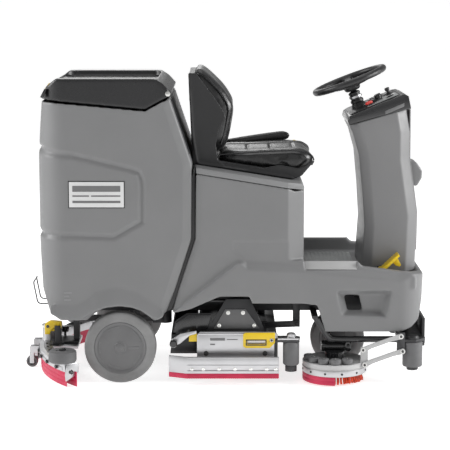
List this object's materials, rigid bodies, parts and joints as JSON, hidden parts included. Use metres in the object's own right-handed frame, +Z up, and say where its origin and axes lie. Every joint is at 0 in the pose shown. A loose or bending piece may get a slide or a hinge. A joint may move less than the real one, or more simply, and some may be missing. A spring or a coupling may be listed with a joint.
{
  "type": "ride on scrubber",
  "caption": "Ride-on floor scrubber dryer: driver's seat and steering column, rear recovery tank, roller brush deck, right-hand side brush deck and curved rear squeegee.",
  "frame": {"origin": "On the floor, below the middle of the machine's bounding box.", "axes": "+X is forward, +Y is the driver's left, +Z is up."},
  "size_m": [1.823, 0.984, 1.3958],
  "materials": {
    "tank_plastic": "rotomoulded dark grey, fine grain",
    "lid_plastic": "moulded black, semi-matt",
    "column_plastic": "rotomoulded light grey",
    "black_plastic": "moulded black",
    "yellow_plastic": "moulded yellow",
    "red_plastic": "moulded red",
    "vinyl": "black seat vinyl, soft sheen",
    "grey_rubber": "grey non-marking rubber",
    "guard_rubber": "grey roller rubber",
    "rim_plastic": "dark grey wheel disc",
    "red_rubber": "red polyurethane skirt and blades",
    "bristle": "orange-red bristles",
    "silver_metal": "satin aluminium",
    "white_metal": "light grey powder coat",
    "black_steel": "black powder coat",
    "wire": "spring wire",
    "battery_case": "battery cases",
    "tread": "light grey step tread"
  },
  "bodies": {
    "chassis": {"chassis_frame": "black_steel", "battery_pack": "battery_case", "suction_turbine": "black_plastic", "front_bumper": "black_steel", "recovery_tank": "tank_plastic", "hose_bail": "wire", "body_shell": "tank_plastic", "step_tread": "tread", "column_shell": "column_plastic", "column_cover": "column_plastic", "dash_bezel": "black_plastic", "dash_plate": "black_plastic", "steering_neck": "black_plastic", "pedal_bracket": "black_steel"},
    "steering_wheel": {"steering_wheel": "black_plastic"},
    "drive_fork": {"drive_fork": "black_steel"},
    "drive_wheel": {"drive_tyre": "grey_rubber", "drive_rim": "rim_plastic"},
    "rear_wheel_right": {"rear_tyre_right": "grey_rubber", "rear_rim_right": "rim_plastic"},
    "rear_wheel_left": {"rear_tyre_left": "grey_rubber", "rear_rim_left": "rim_plastic"},
    "tank_lid": {"tank_lid": "lid_plastic"},
    "seat_console": {"seat_console": "tank_plastic"},
    "seat": {"seat_shell": "black_plastic", "seat_cushion": "vinyl", "seat_back": "vinyl"},
    "armrest": {"armrest": "vinyl"},
    "lift_lever": {"lift_lever": "yellow_plastic"},
    "pedal": {"pedal": "yellow_plastic"},
    "stop_button": {"stop_button": "red_plastic"},
    "mode_knob": {"mode_knob": "black_plastic"},
    "direction_lever": {"direction_lever": "black_plastic"},
    "deck_links": {"deck_links": "black_steel"},
    "roller_deck": {"deck_housing": "black_steel", "deck_cover": "silver_metal", "skirt_rails": "silver_metal", "deck_skirts": "red_rubber"},
    "deck_latch": {"deck_latch": "yellow_plastic"},
    "deck_hopper": {"deck_hopper": "black_plastic"},
    "roller_front": {"roller_front": "bristle"},
    "roller_rear": {"roller_rear": "bristle"},
    "deck_roller": {"deck_roller": "guard_rubber"},
    "side_lower_link": {"side_lower_link": "white_metal"},
    "side_upper_link": {"side_upper_link": "white_metal"},
    "side_deck": {"side_carrier": "white_metal", "side_skirt": "red_rubber", "side_motor": "black_plastic", "side_guide_rollers": "guard_rubber"},
    "side_brush": {"side_brush": "bristle"},
    "guard_roller_right": {"guard_roller_right": "guard_rubber"},
    "guard_roller_left": {"guard_roller_left": "guard_rubber"},
    "squeegee_yoke": {"squeegee_yoke": "black_steel"},
    "squeegee": {"squeegee_arm": "black_steel", "squeegee_body": "silver_metal", "squeegee_blades": "red_rubber"},
    "castors": {"castors": "guard_rubber"},
    "deflector_right": {"deflector_right": "guard_rubber"},
    "deflector_left": {"deflector_left": "guard_rubber"},
    "release_lever": {"release_lever": "yellow_plastic"}
  },
  "joints": [
    {"name": "steering", "type": "hinge", "parent": "chassis", "child": "steering_wheel", "pos_m": [0.574, 0, 1.322], "axis": [-0.3567, 0, 0.9342], "range_deg": [-400, 400]},
    {"name": "fork_steer", "type": "hinge", "parent": "chassis", "child": "drive_fork", "pos_m": [0.53, 0, 0.3], "axis": [0, 0, 1], "range_deg": [-80, 80]},
    {"name": "drive_spin", "type": "hinge", "parent": "drive_fork", "child": "drive_wheel", "pos_m": [0.53, 0, 0.125], "axis": [0, 1, 0], "continuous": true},
    {"name": "rear_spin_right", "type": "hinge", "parent": "chassis", "child": "rear_wheel_right", "pos_m": [-0.459, -0.352, 0.16], "axis": [0, 1, 0], "continuous": true},
    {"name": "rear_spin_left", "type": "hinge", "parent": "chassis", "child": "rear_wheel_left", "pos_m": [-0.459, 0.352, 0.16], "axis": [0, 1, 0], "continuous": true},
    {"name": "lid_hinge", "type": "hinge", "parent": "chassis", "child": "tank_lid", "pos_m": [-0.242, 0, 1.286], "axis": [0, 1, 0], "range_deg": [0, 80]},
    {"name": "console_hinge", "type": "hinge", "parent": "chassis", "child": "seat_console", "pos_m": [-0.121, 0.377, 0.93675], "axis": [-0.9869, 0, 0.1614], "range_deg": [0, 24]},
    {"name": "seat_slide", "type": "slide", "parent": "seat_console", "child": "seat", "axis": [0.9869, 0, -0.1614], "range_m": [0, 0.1]},
    {"name": "armrest_hinge", "type": "hinge", "parent": "seat", "child": "armrest", "pos_m": [-0.008, 0.263, 0.998], "axis": [0, -1, 0], "range_deg": [0, 75]},
    {"name": "lever_tilt", "type": "hinge", "parent": "seat_console", "child": "lift_lever", "pos_m": [0.334, 0.302, 0.898], "axis": [0, -1, 0], "range_deg": [0, 36]},
    {"name": "pedal_press", "type": "hinge", "parent": "chassis", "child": "pedal", "pos_m": [0.702, -0.276, 0.492], "axis": [0, 1, 0], "range_deg": [0, 14], "stiffness_Nm_per_rad": 8, "springref_deg": -17.19},
    {"name": "stop_press", "type": "slide", "parent": "chassis", "child": "stop_button", "axis": [0.3813, 0, -0.9244], "range_m": [0, 0.006], "stiffness_N_per_m": 600, "springref_m": -0.002},
    {"name": "mode_turn", "type": "hinge", "parent": "chassis", "child": "mode_knob", "pos_m": [0.70573, -0.062, 1.23549], "axis": [-0.3813, 0, 0.9244], "range_deg": [-130, 130]},
    {"name": "lever_rock", "type": "hinge", "parent": "chassis", "child": "direction_lever", "pos_m": [0.74288, -0.112, 1.26866], "axis": [0, 1, 0], "range_deg": [-18, 18], "stiffness_Nm_per_rad": 1.5},
    {"name": "deck_lift", "type": "hinge", "parent": "chassis", "child": "deck_links", "pos_m": [0.33, 0, 0.232], "axis": [0, 1, 0], "range_deg": [-12, 7.5]},
    {"name": "deck_level", "type": "hinge", "parent": "deck_links", "child": "roller_deck", "pos_m": [0.18, 0, 0.226], "axis": [0, 1, 0], "range_deg": [-7.5, 12]},
    {"name": "latch_turn", "type": "hinge", "parent": "roller_deck", "child": "deck_latch", "pos_m": [0.212, -0.405, 0.2], "axis": [0, -1, 0], "range_deg": [0, 55]},
    {"name": "hopper_slide", "type": "slide", "parent": "roller_deck", "child": "deck_hopper", "axis": [0, -1, 0], "range_m": [0, 0.35]},
    {"name": "roller_front_spin", "type": "hinge", "parent": "roller_deck", "child": "roller_front", "pos_m": [0.132, 0, 0.092], "axis": [0, 1, 0], "continuous": true},
    {"name": "roller_rear_spin", "type": "hinge", "parent": "roller_deck", "child": "roller_rear", "pos_m": [0, 0, 0.092], "axis": [0, 1, 0], "continuous": true},
    {"name": "deck_roller_spin", "type": "hinge", "parent": "roller_deck", "child": "deck_roller", "pos_m": [0.299, -0.39, 0.14], "axis": [0, 0, 1], "continuous": true},
    {"name": "side_lift", "type": "hinge", "parent": "chassis", "child": "side_lower_link", "pos_m": [0.791, -0.4175, 0.152], "axis": [0, 1, 0], "range_deg": [0, 14.5]},
    {"name": "side_level", "type": "hinge", "parent": "side_lower_link", "child": "side_deck", "pos_m": [0.624, -0.4175, 0.091], "axis": [0, 1, 0], "range_deg": [-14.5, 0]},
    {"name": "side_upper_swing", "type": "hinge", "parent": "chassis", "child": "side_upper_link", "pos_m": [0.783, -0.4175, 0.219], "axis": [0, 1, 0], "range_deg": [0, 14.5]},
    {"name": "side_brush_spin", "type": "hinge", "parent": "side_deck", "child": "side_brush", "pos_m": [0.495, -0.332, 0.09], "axis": [0, 0, 1], "continuous": true},
    {"name": "guard_spin_right", "type": "hinge", "parent": "chassis", "child": "guard_roller_right", "pos_m": [0.839, -0.378, 0.13], "axis": [0, 0, 1], "continuous": true},
    {"name": "guard_spin_left", "type": "hinge", "parent": "chassis", "child": "guard_roller_left", "pos_m": [0.839, 0.378, 0.13], "axis": [0, 0, 1], "continuous": true},
    {"name": "squeegee_swing", "type": "hinge", "parent": "chassis", "child": "squeegee_yoke", "pos_m": [-0.272, 0, 0.22], "axis": [0, 0, 1], "range_deg": [-12, 12]},
    {"name": "squeegee_lift", "type": "hinge", "parent": "squeegee_yoke", "child": "squeegee", "pos_m": [-0.316, 0, 0.215], "axis": [0, 1, 0], "range_deg": [0, 6.5]},
    {"name": "castor_spin", "type": "hinge", "parent": "squeegee", "child": "castors", "pos_m": [-0.888, 0, 0.027], "axis": [0, 1, 0], "continuous": true},
    {"name": "deflector_spin_right", "type": "hinge", "parent": "squeegee", "child": "deflector_right", "pos_m": [-0.711, -0.43, 0.13], "axis": [0, 0, 1], "continuous": true},
    {"name": "deflector_spin_left", "type": "hinge", "parent": "squeegee", "child": "deflector_left", "pos_m": [-0.711, 0.43, 0.13], "axis": [0, 0, 1], "continuous": true},
    {"name": "release_tilt", "type": "hinge", "parent": "squeegee", "child": "release_lever", "pos_m": [-0.768, -0.06, 0.182], "axis": [0, 1, 0], "range_deg": [0, 40]}
  ],
  "couplings": [
    {"joint": "fork_steer", "follows": "steering", "ratio": 0.2},
    {"joint": "lever_tilt", "follows": "squeegee_lift", "ratio": 5.3846},
    {"joint": "deck_level", "follows": "deck_lift", "ratio": -1},
    {"joint": "roller_rear_spin", "follows": "roller_front_spin", "ratio": -1},
    {"joint": "side_level", "follows": "side_lift", "ratio": -1},
    {"joint": "side_upper_swing", "follows": "side_lift", "ratio": 1}
  ]
}
